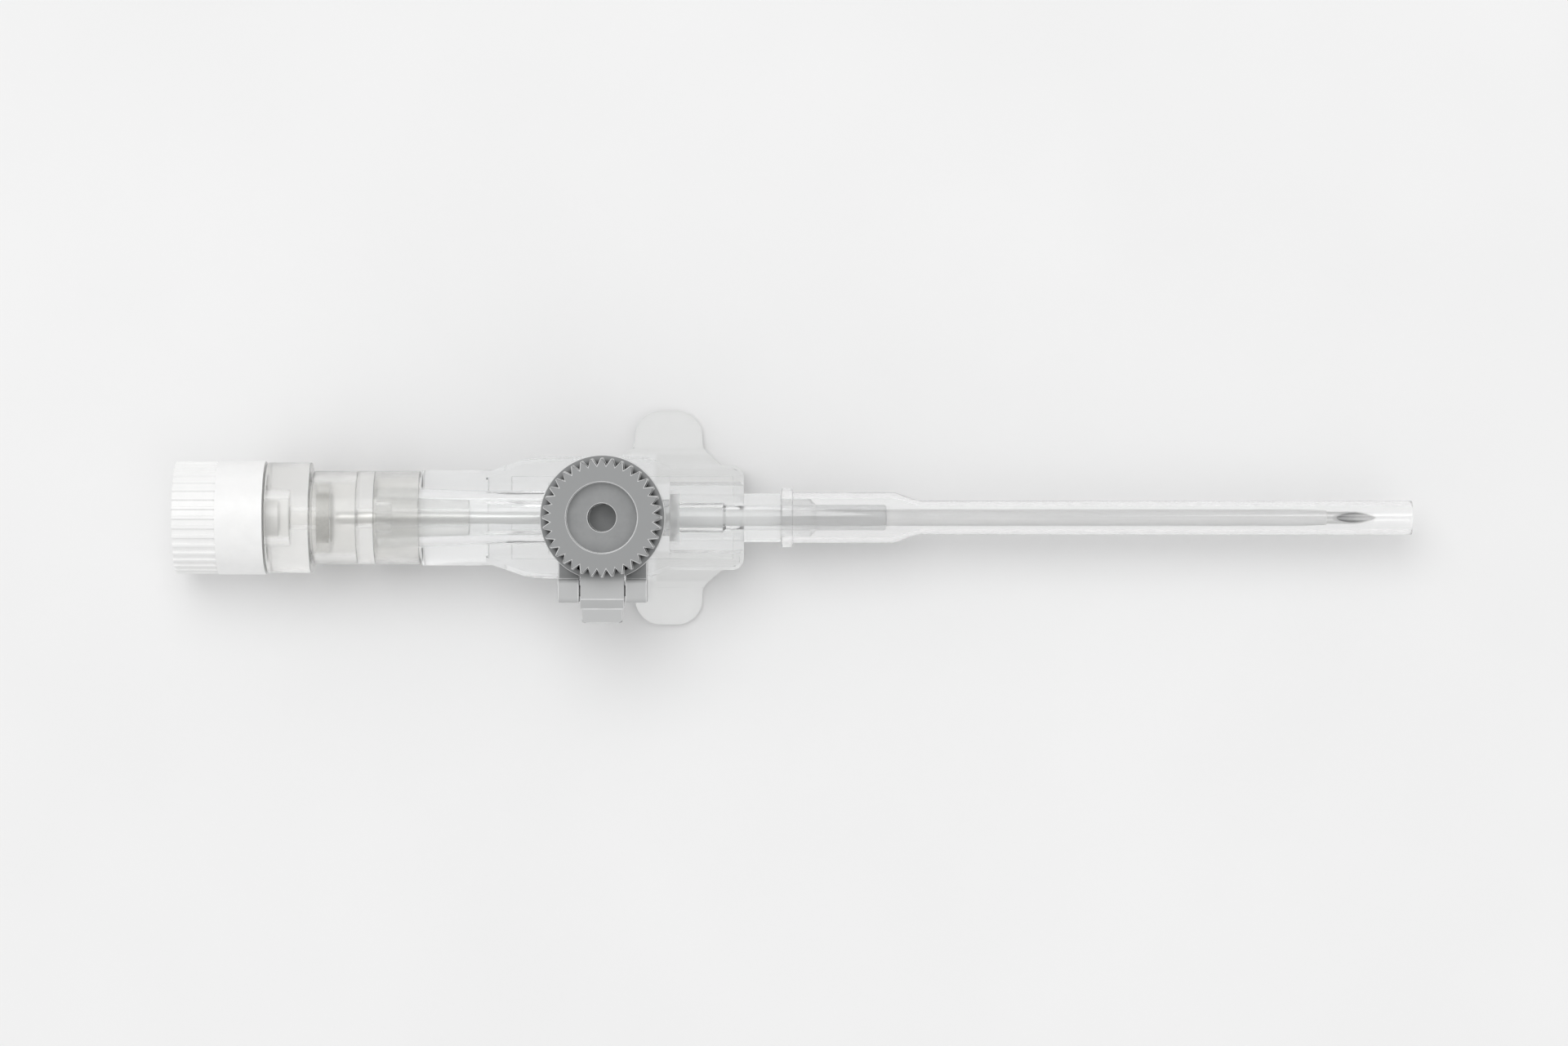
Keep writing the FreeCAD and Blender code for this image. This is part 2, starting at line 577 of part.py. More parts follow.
# Catheter tube with its flared rear and tapered tip
tube = new_body("catheter_tube")
turned(tube, "Revolution", "tube_wall", outline(tube, "tube_outline", "side", [
    ("flare_start + face_gap", "eyelet_outer + set_gap"),
    ("flare_end + set_gap", "eyelet_outer + set_gap"),
    ("flare_end + flare_taper", "catheter_inner"),
    ("catheter_tip", "catheter_inner"),
    ("catheter_tip", "tip_radius"),
    ("catheter_tip - tip_taper", "catheter_outer"),
    ("flare_end + flare_taper", "catheter_outer"),
    ("flare_end", "flare_outer"),
    ("flare_start + face_gap", "flare_outer"),
]), "H_Axis")

# Steel needle, hollow, with a bevel and two side facets
needle = new_body("introducer_needle")
turned(needle, "Revolution", "needle_wall", outline(needle, "needle_outline", "side", [
    ("needle_rear", "needle_bore"),
    ("needle_tip", "needle_bore"),
    ("needle_tip", "needle_radius"),
    ("needle_rear", "needle_radius"),
]), "H_Axis")
pushed(needle, "Pocket", "needle_bevel", outline(needle, "needle_bevel_outline", "side", [
    ("needle_tip - bevel_length", "needle_radius"),
    ("needle_tip", "-needle_radius"),
    ("needle_tip + cut_overrun", "-needle_radius"),
    ("needle_tip + cut_overrun", "needle_radius + cut_overrun"),
    ("needle_tip - bevel_length", "needle_radius + cut_overrun"),
]), "2 * (needle_radius + cut_overrun)", middle=True)
for side, sign in (("near", 1), ("far", -1)):
    turn = (FreeCAD.Vector(sign, 0, 0), "lancet_angle")
    pushed(needle, "Pocket", "lancet_" + side, outline(needle, "lancet_outline_" + side, "side", [
        ("needle_tip - lancet_length", "-needle_radius + lancet_length * tan(lancet_slope)"),
        ("needle_tip", "-needle_radius"),
        ("needle_tip + cut_overrun", "-needle_radius"),
        ("needle_tip + cut_overrun", "needle_radius + cut_overrun"),
        ("needle_tip - lancet_length", "needle_radius + cut_overrun"),
    ], turn=turn), "2 * (needle_radius + cut_overrun)", middle=True)

# Needle hub: flash chamber, web, skirt and male luer nose
grip = new_body("needle_hub")
turned(grip, "Revolution", "needle_hub_wall", outline(grip, "needle_hub_outline", "side", [
    ("chamber_rear", "chamber_bore"),
    ("web_rear", "chamber_bore"),
    ("web_rear", "needle_radius + set_gap"),
    ("male_end", "needle_radius + set_gap"),
    ("male_end", luer_radius("male_end - hub_rear") + " - luer_gap"),
    ("web_front", luer_radius("web_front - hub_rear") + " - luer_gap"),
    ("web_front", "skirt_bore"),
    ("skirt_front", "skirt_bore"),
    ("skirt_front", "skirt_radius"),
    ("chamber_rear", "skirt_radius"),
]), "H_Axis")

# Rear piece of the flash chamber: spigot, push flange and female luer neck
rear = new_body("rear_luer_piece")
turned(rear, "Revolution", "rear_piece_wall", outline(rear, "rear_piece_outline", "side", [
    ("neck_rear", "luer_mouth_radius"),
    ("neck_rear", "neck_radius"),
    ("flange_rear", "neck_radius"),
    ("flange_rear", "flange_radius"),
    ("flange_front", "flange_radius"),
    ("flange_front", "chamber_bore - set_gap"),
    ("spigot_front", "chamber_bore - set_gap"),
    ("spigot_front", "filter_radius + set_gap"),
    ("spigot_front - filter_thick - set_gap", "filter_radius + set_gap"),
    ("spigot_front - filter_thick - set_gap", "vent_hole_radius"),
    ("neck_rear + rear_luer_depth", "vent_hole_radius"),
    ("neck_rear + rear_luer_depth", luer_radius("rear_luer_depth")),
]), "H_Axis")
rear_lugs = pushed(rear, "Pad", "rear_lugs", outline(rear, "rear_lug_outline", "end", [
    ("neck_radius - lug_root", "-lug_half_width"),
    ("lug_radius", "-lug_half_width"),
    ("lug_radius", "lug_half_width"),
    ("neck_radius - lug_root", "lug_half_width"),
], lift="neck_rear"), "lug_length")
ringed(rear, "rear_lug_pair", rear_lugs, "X_Axis", "lug_count")

# Vent filter
filter_disc = new_body("vent_filter")
turned(filter_disc, "Revolution", "filter_disc_wall", outline(filter_disc, "filter_outline", "side", [
    ("spigot_front - filter_thick", "0"),
    ("spigot_front", "0"),
    ("spigot_front", "filter_radius"),
    ("spigot_front - filter_thick", "filter_radius"),
]), "H_Axis")

# White closing plug: ribbed grip, collar and male cone
plug = new_body("luer_lock_plug")
turned(plug, "Revolution", "plug_wall", outline(plug, "plug_outline", "side", [
    ("plug_rear + plug_core_depth", "0"),
    ("plug_rear + plug_core_depth", "plug_core_hole"),
    ("plug_rear", "plug_core_hole"),
    ("plug_rear", "plug_grip_radius"),
    ("plug_grip_end", "plug_grip_radius"),
    ("plug_grip_end", "plug_radius"),
    ("plug_front", "plug_radius"),
    ("plug_front", "plug_collar_bore"),
    ("plug_web_front", "plug_collar_bore"),
    ("plug_web_front", "luer_mouth_radius - luer_gap"),
    ("plug_core_front", luer_radius("plug_core_front - neck_rear") + " - luer_gap"),
    ("plug_core_front", "0"),
]), "H_Axis")
plug_rib = pushed(plug, "Pad", "plug_rib", outline(plug, "plug_rib_outline", "end", [
    ("plug_grip_radius - plug_rib_root", "-plug_rib_half"),
    ("plug_rib_reach", "-plug_rib_tip_half"),
    ("plug_rib_reach", "plug_rib_tip_half"),
    ("plug_grip_radius - plug_rib_root", "plug_rib_half"),
], lift="plug_rear"), "plug_grip_end - plug_rear")
ringed(plug, "plug_ribs", plug_rib, "X_Axis", "plug_rib_count")

# Port collar: ring snapped round the tower, with two hinge ears
collar = new_body("port_collar")
turned(collar, "Revolution", "collar_ring", outline(collar, "collar_ring_outline", "side", [
    ("collar_seat_radius + run_gap", "collar_bottom"),
    ("collar_outer", "collar_bottom"),
    ("collar_outer", "collar_top"),
    ("collar_seat_radius + run_gap", "collar_top"),
]), "V_Axis")
for side, sign in (("rear", "-"), ("front", "")):
    pushed(collar, "Pad", "ear_arm_" + side, outline(collar, "ear_arm_outline_" + side, "plan", [
        (sign + "ear_inner", "-ear_arm_root"),
        (sign + "ear_outer", "-ear_arm_root"),
        (sign + "ear_outer", "hinge_y"),
        (sign + "ear_inner", "hinge_y"),
    ], lift="ear_arm_bottom"), "collar_top - ear_arm_bottom")
    pushed(collar, "Pad", "ear_" + side, outline(collar, "ear_outline_" + side, "plan", [
        (sign + "ear_inner", "hinge_y + knuckle_radius"),
        (sign + "ear_outer", "hinge_y + knuckle_radius"),
        (sign + "ear_outer", "hinge_y - knuckle_radius"),
        (sign + "ear_inner", "hinge_y - knuckle_radius"),
    ], lift="ear_arm_bottom"), EAR_TOP + " - ear_arm_bottom")
eased(collar, "Fillet", "ear_soft", "ear_round",
      lambda e: level(e, number(EAR_TOP)) and e.BoundBox.YLength < SLACK)
turned(collar, "Groove", "collar_bore", outline(collar, "collar_bore_outline", "side", [
    ("0", "collar_bottom - cut_overrun"),
    ("collar_seat_radius + run_gap", "collar_bottom - cut_overrun"),
    ("collar_seat_radius + run_gap", "collar_top + cut_overrun"),
    ("0", "collar_top + cut_overrun"),
]), "V_Axis")
pushed(collar, "Pocket", "pin_bore", circle(
    collar, "pin_bore_circle", "end", "hinge_y", "hinge_z", "pin_radius + run_gap",
), "2 * (ear_outer + cut_overrun)", middle=True)
pushed(collar, "Pocket", "key_slot", outline(collar, "key_slot_outline", "plan", [
    ("-key_half - key_gap", "collar_seat_radius - cut_overrun"),
    ("key_half + key_gap", "collar_seat_radius - cut_overrun"),
    ("key_half + key_gap", "key_reach + key_gap"),
    ("-key_half - key_gap", "key_reach + key_gap"),
], lift="key_top + key_gap"), "key_top + key_gap - collar_bottom + cut_overrun")

# Port cap: toothed disc with flange, cavity, stopper, strap, hinge pin and thumb tab
cap = new_body("port_cap")
turned(cap, "Revolution", "cap_disc", outline(cap, "cap_disc_outline", "side", [
    ("0", "stopper_bottom"),
    ("stopper_tip_radius", "stopper_bottom"),
    ("stopper_radius", "stopper_bottom + stopper_bevel"),
    ("stopper_radius", "cap_cavity_top"),
    ("cap_cavity_radius", "cap_cavity_top"),
    ("cap_cavity_radius", "cap_bottom"),
    ("cap_tooth_radius", "cap_bottom"),
    ("cap_tooth_radius", "cap_top"),
    ("cap_recess_radius", "cap_top"),
    ("cap_recess_radius", "cap_top - cap_recess_depth"),
    ("cap_hole_radius", "cap_top - cap_recess_depth"),
    ("cap_hole_radius", "cap_hole_floor"),
    ("0", "cap_hole_floor"),
]), "V_Axis")
notch = pushed(cap, "Pocket", "cap_notch", outline(cap, "cap_notch_outline", "plan", [
    ("cap_root_radius", "0"),
    ("cap_tooth_radius + cut_overrun", "-" + NOTCH_MOUTH),
    ("cap_tooth_radius + cut_overrun", NOTCH_MOUTH),
], lift="cap_top", turn=(FreeCAD.Vector(0, 0, 1), HALF_PITCH)), "cap_top - cap_bottom")
ringed(cap, "cap_notches", notch, "Z_Axis", "cap_tooth_count")
turned(cap, "Revolution", "cap_flange", outline(cap, "cap_flange_outline", "side", [
    ("cap_cavity_radius", "cap_bottom"),
    ("cap_flange_radius", "cap_bottom"),
    ("cap_flange_radius", "cap_bottom + cap_flange_thick"),
    ("cap_cavity_radius", "cap_bottom + cap_flange_thick"),
]), "V_Axis")
pushed(cap, "Pad", "strap", outline(cap, "strap_outline", "end", [
    ("strap_inner", "cap_bottom"),
    ("strap_inner", "strap_top"),
    ("strap_outer", "strap_top"),
    ("strap_foot", "tab_top"),
    ("strap_foot", "tab_top - tab_thick"),
    ("hinge_y - knuckle_radius * knuckle_share", "hinge_z - knuckle_radius * knuckle_share"),
    ("hinge_y + knuckle_radius * knuckle_share", "cap_bottom"),
], lift="-strap_half"), "2 * strap_half")
pushed(cap, "Pad", "strap_knuckle", circle(
    cap, "strap_knuckle_circle", "end", "hinge_y", "hinge_z", "knuckle_radius", lift="-strap_half",
), "2 * strap_half")
pushed(cap, "Pad", "thumb_tab", outline(cap, "thumb_tab_outline", "plan", [
    ("-tab_half", "hinge_y"),
    ("tab_half", "hinge_y"),
    ("tab_half", "tab_outer"),
    ("-tab_half", "tab_outer"),
], lift="tab_top - tab_thick"), "tab_thick")
eased(cap, "Fillet", "tab_corners", "tab_round",
      lambda e: upright(e) and beside(e, -number("tab_outer")))
pushed(cap, "Pad", "hinge_pin", circle(
    cap, "hinge_pin_circle", "end", "hinge_y", "hinge_z", "pin_radius", lift="-ear_outer + pin_inset",
), "2 * (ear_outer - pin_inset)")

# Needle guard
guard = new_body("needle_guard")
turned(guard, "Revolution", "guard_shell", outline(guard, "guard_outline", "side", [
    (GUARD_BASE, "seat_radius + run_gap"),
    ("nose_tip + guard_nose_run", "seat_radius + run_gap"),
    ("nose_tip + guard_nose_run + guard_shoulder", "guard_end_radius - guard_wall"),
    ("guard_end", "guard_end_radius - guard_wall"),
    ("guard_end", "guard_end_radius"),
    ("nose_tip + guard_nose_run + guard_shoulder", "guard_end_radius"),
    ("nose_tip + guard_nose_run", "guard_socket_radius"),
    (GUARD_BASE + " + guard_base_width", "guard_socket_radius"),
    (GUARD_BASE + " + guard_base_width", "guard_base_radius"),
    (GUARD_BASE, "guard_base_radius"),
]), "H_Axis")

doc.removeObject(working.Name)
doc.recompute()

PIECES = [hub, sleeve, eyelet, tube, needle, grip, rear, filter_disc, plug, collar, cap, guard]

for item in doc.Objects:
    if "Invalid" in item.State or "Error" in item.State:
        raise ValueError(item.Name)
os.makedirs("parts", exist_ok=True)
for piece in PIECES:
    shape = piece.Shape
    if shape.isNull() or not shape.isValid() or len(shape.Solids) != 1:
        raise ValueError(piece.Label)
    shape.exportStep("parts/%s.step" % piece.Label)
    print(piece.Label, round(shape.Volume, 3), shape.BoundBox)
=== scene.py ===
import math

import bmesh
import bpy
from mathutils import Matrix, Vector


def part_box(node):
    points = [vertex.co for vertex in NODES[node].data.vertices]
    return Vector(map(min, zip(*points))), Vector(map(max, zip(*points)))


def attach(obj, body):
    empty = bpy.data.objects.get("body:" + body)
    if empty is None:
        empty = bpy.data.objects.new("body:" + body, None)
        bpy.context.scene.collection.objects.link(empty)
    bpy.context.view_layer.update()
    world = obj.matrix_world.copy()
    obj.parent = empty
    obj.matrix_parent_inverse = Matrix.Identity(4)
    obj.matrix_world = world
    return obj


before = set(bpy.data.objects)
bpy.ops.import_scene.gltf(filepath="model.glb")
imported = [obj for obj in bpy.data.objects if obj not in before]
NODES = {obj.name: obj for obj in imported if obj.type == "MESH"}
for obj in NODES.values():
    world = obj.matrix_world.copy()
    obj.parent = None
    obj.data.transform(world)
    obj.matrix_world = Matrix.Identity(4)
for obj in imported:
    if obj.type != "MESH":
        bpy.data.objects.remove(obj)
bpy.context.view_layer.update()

# Intravenous cannula seen from straight above, on a plain pale floor.
# Lengths are in metres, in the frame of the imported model: X runs along the catheter
# towards its tip, and Z is up from the surface that the cannula rests on.

MM = 0.001

# The photograph and the camera
PHOTO_WIDTH = 1920
PHOTO_HEIGHT = 1281
PX_PER_MM = 12.0
CAP_CENTRE_PX = (740, 634)
CAMERA_HEIGHT = 600 * MM
SENSOR_WIDTH = 36.0
CLIP_START = 10 * MM
CLIP_END = 20.0

# Places where a piece's finish changes. A pair is the start and end of a soft change.
SOFT_EDGE = 0.3 * MM
AXIS_HEIGHT = 5.8 * MM
WING_START_Y = 6.4 * MM
RAIL_START_X = 5.0 * MM
RAIL_START_Y = 3.3 * MM
NOSE_START_X = 14.2 * MM
SEAT_START_X = 5.6 * MM
SEAT_END_X = 7.5 * MM
SEAT_RADIUS = 2.7 * MM
CAP_TOP = 16.6 * MM
CAP_RECESS = 15.5 * MM
CAP_FLANGE = 13.6 * MM
# The notch roots, where the cap's painted shade lies
NOTCH_ROOT = 5.2 * MM
NOTCH_MOUTH = 5.95 * MM
NOTCH_BACK = (NOTCH_ROOT - 0.4 * MM, NOTCH_ROOT - 0.3 * MM)
NOTCH_DEPTH = (NOTCH_ROOT + 0.3 * MM, NOTCH_MOUTH)
NOTCH_BOTTOM = (CAP_FLANGE - 0.1 * MM, CAP_FLANGE)
NOTCH_TOP = (CAP_TOP - 0.12 * MM, CAP_TOP - 0.02 * MM)
# Where the painted light on the cap's strap and the collar's ears begins
STRAP_PAINTED_LIGHT_Y = (-5.9 * MM, -6.5 * MM)
NEEDLE_RADIUS = 0.63 * MM
BORE_RADIUS = 0.48 * MM
BORE_WALL = (BORE_RADIUS + 0.01 * MM, BORE_RADIUS + 0.04 * MM)
BEVEL_LENGTH = 4.9 * MM
BEVEL_START_X = 74.4 * MM
BEVEL_FACING = (0.985, 0.992)

# Finishes
CLEAR_IOR = 1.49
SATIN_IOR = 1.5
SATIN_SPECULAR = 0.45
SOFT_IOR = 1.4
NOISE_RANGE = (0.3, 0.7)
RAMP_RANGE = (0.35, 0.65)
HUB_RAIL_COLOUR = (0.9, 0.905, 0.9)
HUB_WING_COLOUR = (0.94, 0.945, 0.94)
HUB_CLEARNESS = 0.9
NOSE_CLEARNESS = 0.75
SEAT_ROUGHNESS = 0.5
# Painted light on the cap's top, against its recess
CAP_TOP_PAINTED_LIGHT_COLOUR = (0.285, 0.29, 0.292)
# Painted light on the cap's strap and the collar's ears
CAP_STRAP_PAINTED_LIGHT_COLOUR = (0.48, 0.485, 0.485)
# Painted shade in the cap's notch roots
CAP_NOTCH_PAINTED_SHADE_COLOUR = (0.03, 0.03, 0.03)
# Painted shade in the needle's bore, from its rear to its tip
BORE_SHADE_REAR_COLOUR = (0.13, 0.13, 0.13)
BORE_SHADE_TIP_COLOUR = (0.5, 0.5, 0.5)

# Moulded edges, by the rounding of each piece
EDGE_ROUND = {
    "catheter_hub": 0.04 * MM,
    "needle_hub": 0.1 * MM,
    "rear_luer_piece": 0.12 * MM,
    "needle_guard": 0.08 * MM,
    "luer_lock_plug": 0.1 * MM,
    "port_cap": 0.065 * MM,
    "port_collar": 0.12 * MM,
    "vent_filter": 0.05 * MM,
    "valve_sleeve": 0.05 * MM,
    "catheter_eyelet": 0.03 * MM,
    "catheter_tube": 0.03 * MM,
    "introducer_needle": 0.01 * MM,
}
FREE_EDGES = ("port_cap", "port_collar", "catheter_hub")
EDGE_SEGMENTS = 2
SHARP_ANGLE = math.radians(28)
WELD_GAP = 0.0005 * MM

# Thread in the plug's collar
THREAD_REAR_X = -39.1 * MM
THREAD_FRONT_X = -35.2 * MM
THREAD_LEAD = 5.0 * MM
THREAD_STARTS = 2
THREAD_STEPS = 48
THREAD_FADE = 6.0
THREAD_ROOT = 4.23 * MM
THREAD_CREST = 3.86 * MM
THREAD_HALF_ROOT = 0.5 * MM
THREAD_HALF_CREST = 0.22 * MM
THREAD_EDGE = 0.04 * MM

# Surroundings. The floor lies just below the object, because clear faces in its own
# plane render in patches.
FLOOR_GAP = 0.02 * MM
FLOOR_SIZE = 6.0
FLOOR_DARK = (0.86, 0.86, 0.86)
FLOOR_LIGHT = (0.88, 0.88, 0.88)
FLOOR_ROUGHNESS = 0.7
FLOOR_SPECULAR = 0.2
FLOOR_GLOW = (0.9, 0.9, 0.9)
FLOOR_GLOW_SHARE = 0.7
WORLD_LIGHT = 0.72
WORLD_SEEN = (0.97, 0.97, 0.97)
LAMP_AIM = (0.02, 0, 0)
LAMPS = (
    {"name": "key", "location": (-0.2, 0.5, 1.1), "size": 0.9, "power": 5.0},
    {"name": "fill", "location": (0.5, -0.5, 1.1), "size": 1.0, "power": 1.0},
)


# Camera
def add_camera():
    """Look straight down, with the cap's centre at its pixel in the photograph."""
    data = bpy.data.cameras.new("camera")
    data.sensor_width = SENSOR_WIDTH
    frame_width = PHOTO_WIDTH / PX_PER_MM * MM
    middle_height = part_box("catheter_hub")[1].z / 2
    data.lens = SENSOR_WIDTH * (CAMERA_HEIGHT - middle_height) / frame_width
    data.clip_start = CLIP_START
    data.clip_end = CLIP_END
    camera = bpy.data.objects.new("camera", data)
    across = (PHOTO_WIDTH / 2 - CAP_CENTRE_PX[0]) / PX_PER_MM * MM
    down = (CAP_CENTRE_PX[1] - PHOTO_HEIGHT / 2) / PX_PER_MM * MM
    camera.location = (across, down, CAMERA_HEIGHT)
    bpy.context.scene.collection.objects.link(camera)
    bpy.context.scene.camera = camera


# Node helpers. Each takes and returns output sockets.
def new_material(name):
    """A new material, with its node tree and its shader."""
    material = bpy.data.materials.new(name)
    material.use_nodes = True
    return material, material.node_tree, material.node_tree.nodes["Principled BSDF"]


def add_node(tree, kind, **values):
    """Add a shader node and set its properties."""
    node = tree.nodes.new("ShaderNode" + kind)
    for key, value in values.items():
        setattr(node, key, value)
    return node


def place(tree, stretch=(1, 1, 1)):
    """Object coordinates, stretched along the axes."""
    coords = add_node(tree, "TexCoord")
    mapping = add_node(tree, "Mapping")
    mapping.inputs["Scale"].default_value = stretch
    tree.links.new(coords.outputs["Object"], mapping.inputs["Vector"])
    return mapping.outputs["Vector"]


def axes(tree):
    """Object coordinates as their X, Y and Z."""
    split = add_node(tree, "SeparateXYZ")
    tree.links.new(place(tree), split.inputs["Vector"])
    return split.outputs["X"], split.outputs["Y"], split.outputs["Z"]


def noise(tree, size, detail=3.0, roughness=0.5, stretch=(1, 1, 1)):
    """Noise whose features are about that size in metres."""
    node = add_node(tree, "TexNoise")
    node.inputs["Scale"].default_value = 1.0 / size
    node.inputs["Detail"].default_value = detail
    node.inputs["Roughness"].default_value = roughness
    tree.links.new(place(tree, stretch), node.inputs["Vector"])
    return node.outputs["Fac"]


def spread(tree, value, low, high, start=NOISE_RANGE[0], end=NOISE_RANGE[1]):
    """Map the values from start to end to the range from low to high."""
    node = add_node(tree, "MapRange")
    node.inputs["From Min"].default_value = start
    node.inputs["From Max"].default_value = end
    node.inputs["To Min"].default_value = low
    node.inputs["To Max"].default_value = high
    tree.links.new(value, node.inputs["Value"])
    return node.outputs["Result"]


def rise(tree, value, start, end):
    """0 before start, 1 after end."""
    return spread(tree, value, 0, 1, start, end)


def fall(tree, value, start, end):
    """1 before start, 0 after end."""
    return spread(tree, value, 1, 0, start, end)


def times(tree, first, *others):
    """Multiply values."""
    for other in others:
        product = add_node(tree, "Math", operation="MULTIPLY")
        tree.links.new(first, product.inputs[0])
        tree.links.new(other, product.inputs[1])
        first = product.outputs[0]
    return first


def distance(tree, first, second):
    """Distance from zero, by two coordinates."""
    point = add_node(tree, "CombineXYZ")
    tree.links.new(first, point.inputs["X"])
    tree.links.new(second, point.inputs["Y"])
    length = add_node(tree, "VectorMath", operation="LENGTH")
    tree.links.new(point.outputs["Vector"], length.inputs[0])
    return length.outputs["Value"]


def from_axis(tree, y, z):
    """Distance from the cannula's axis."""
    height = add_node(tree, "Math", operation="SUBTRACT")
    height.inputs[1].default_value = AXIS_HEIGHT
    tree.links.new(z, height.inputs[0])
    return distance(tree, y, height.outputs[0])


def blend(tree, value, first, second, start=RAMP_RANGE[0], end=RAMP_RANGE[1]):
    """Run from one colour to another as a value goes from start to end."""
    ramp = add_node(tree, "ValToRGB")
    ramp.color_ramp.elements[0].position = start
    ramp.color_ramp.elements[1].position = end
    ramp.color_ramp.elements[0].color = (*first, 1.0)
    ramp.color_ramp.elements[1].color = (*second, 1.0)
    tree.links.new(value, ramp.inputs["Fac"])
    return ramp.outputs["Color"]


def overlay(tree, share, under, over):
    """Lay a colour over another by a share from 0 to 1."""
    mix = add_node(tree, "Mix", data_type="RGBA")
    tree.links.new(share, mix.inputs["Factor"])
    tree.links.new(under, mix.inputs["A"])
    if isinstance(over, tuple):
        mix.inputs["B"].default_value = (*over, 1.0)
    else:
        tree.links.new(over, mix.inputs["B"])
    return mix.outputs["Result"]


def bump(tree, shader, height, strength, depth):
    """Raise the surface by a height that runs from 0 to 1."""
    node = add_node(tree, "Bump")
    node.inputs["Strength"].default_value = strength
    node.inputs["Distance"].default_value = depth
    tree.links.new(height, node.inputs["Height"])
    tree.links.new(node.outputs["Normal"], shader.inputs["Normal"])


def source_of(shader, name):
    """The output socket that feeds one of the shader's inputs."""
    return shader.inputs[name].links[0].from_socket


# Materials
def clear_plastic(name, pale, deep, clearness, rough=(0.03, 0.09), ripple=0.002 * MM):
    """Clear moulded plastic with faint flow marks and a little haze."""
    material, tree, shader = new_material(name)
    shader.inputs["Transmission Weight"].default_value = clearness
    shader.inputs["IOR"].default_value = CLEAR_IOR
    flow = noise(tree, 6 * MM, detail=2.0, stretch=(0.4, 1, 1))
    tree.links.new(blend(tree, flow, pale, deep), shader.inputs["Base Color"])
    haze = noise(tree, 2.5 * MM)
    tree.links.new(spread(tree, haze, *rough), shader.inputs["Roughness"])
    waves = noise(tree, 3 * MM, detail=1.0, stretch=(0.5, 1, 1))
    bump(tree, shader, waves, strength=0.25, depth=ripple)
    return material


def hub_plastic(name):
    """The hub's clear plastic, deeper in the thick rails, hazy in the wings and the nose,
    and matt at the seat inside."""
    material = clear_plastic(
        name, pale=(0.99, 0.995, 0.995), deep=(0.98, 0.988, 0.988), clearness=HUB_CLEARNESS,
    )
    tree = material.node_tree
    shader = tree.nodes["Principled BSDF"]
    x, y, z = axes(tree)
    aside = add_node(tree, "Math", operation="ABSOLUTE")
    tree.links.new(y, aside.inputs[0])

    rails = times(
        tree,
        rise(tree, x, RAIL_START_X, RAIL_START_X + SOFT_EDGE),
        rise(tree, aside.outputs[0], RAIL_START_Y, RAIL_START_Y + SOFT_EDGE),
    )
    wings = rise(tree, aside.outputs[0], WING_START_Y, WING_START_Y + SOFT_EDGE)
    colour = overlay(tree, rails, source_of(shader, "Base Color"), HUB_RAIL_COLOUR)
    colour = overlay(tree, wings, colour, HUB_WING_COLOUR)
    tree.links.new(colour, shader.inputs["Base Color"])

    nose = (NOSE_START_X - SOFT_EDGE, NOSE_START_X + SOFT_EDGE)
    clearness = spread(tree, x, HUB_CLEARNESS, NOSE_CLEARNESS, *nose)
    tree.links.new(clearness, shader.inputs["Transmission Weight"])

    seat = times(
        tree,
        fall(tree, from_axis(tree, y, z), SEAT_RADIUS, SEAT_RADIUS + SOFT_EDGE),
        rise(tree, x, SEAT_START_X - SOFT_EDGE, SEAT_START_X),
        fall(tree, x, SEAT_END_X, SEAT_END_X + SOFT_EDGE),
    )
    matt = add_node(tree, "Mix", data_type="FLOAT")
    matt.inputs["B"].default_value = SEAT_ROUGHNESS
    tree.links.new(seat, matt.inputs["Factor"])
    tree.links.new(source_of(shader, "Roughness"), matt.inputs["A"])
    tree.links.new(matt.outputs["Result"], shader.inputs["Roughness"])
    return material


def satin_plastic(name, light, dark, rough=(0.38, 0.5)):
    """Opaque moulded plastic with a fine spark-eroded grain."""
    material, tree, shader = new_material(name)
    shader.inputs["IOR"].default_value = SATIN_IOR
    shader.inputs["Specular IOR Level"].default_value = SATIN_SPECULAR
    tint = noise(tree, 1.6 * MM, detail=5.0, roughness=0.65)
    tree.links.new(blend(tree, tint, dark, light), shader.inputs["Base Color"])
    tree.links.new(spread(tree, noise(tree, 0.6 * MM), *rough), shader.inputs["Roughness"])
    grain = noise(tree, 0.12 * MM, detail=2.0)
    bump(tree, shader, grain, strength=0.35, depth=0.012 * MM)
    return material


def cap_plastic(name):
    """The cap's grey plastic, painted lighter on top than in its recess, with painted shade in the
    notch roots and painted light on the thin strap and the collar's ears.
    """
    material = satin_plastic(name, light=(0.295, 0.3, 0.302), dark=(0.265, 0.27, 0.272))
    tree = material.node_tree
    shader = tree.nodes["Principled BSDF"]
    x, y, z = axes(tree)
    radius = distance(tree, x, y)
    # Painted shade: near black in the notch roots, between the flange and the top, fading out
    # towards the notch mouths.
    notch_painted_shade = times(
        tree,
        fall(tree, radius, *NOTCH_DEPTH),
        fall(tree, z, *NOTCH_TOP),
        rise(tree, z, *NOTCH_BOTTOM),
        rise(tree, radius, *NOTCH_BACK),
    )
    # Painted light: the top takes an even, lighter grey than the recess below it, so the recess
    # reads as shaded.
    top_painted_light = rise(tree, z, CAP_RECESS, CAP_TOP)
    colour = overlay(tree, top_painted_light, source_of(shader, "Base Color"), CAP_TOP_PAINTED_LIGHT_COLOUR)
    colour = overlay(tree, notch_painted_shade, colour, CAP_NOTCH_PAINTED_SHADE_COLOUR)
    # Painted light: the strap, and the collar's ears past the same line, turn a much paler grey.
    colour = overlay(tree, rise(tree, y, *STRAP_PAINTED_LIGHT_Y), colour, CAP_STRAP_PAINTED_LIGHT_COLOUR)
    tree.links.new(colour, shader.inputs["Base Color"])
    return material


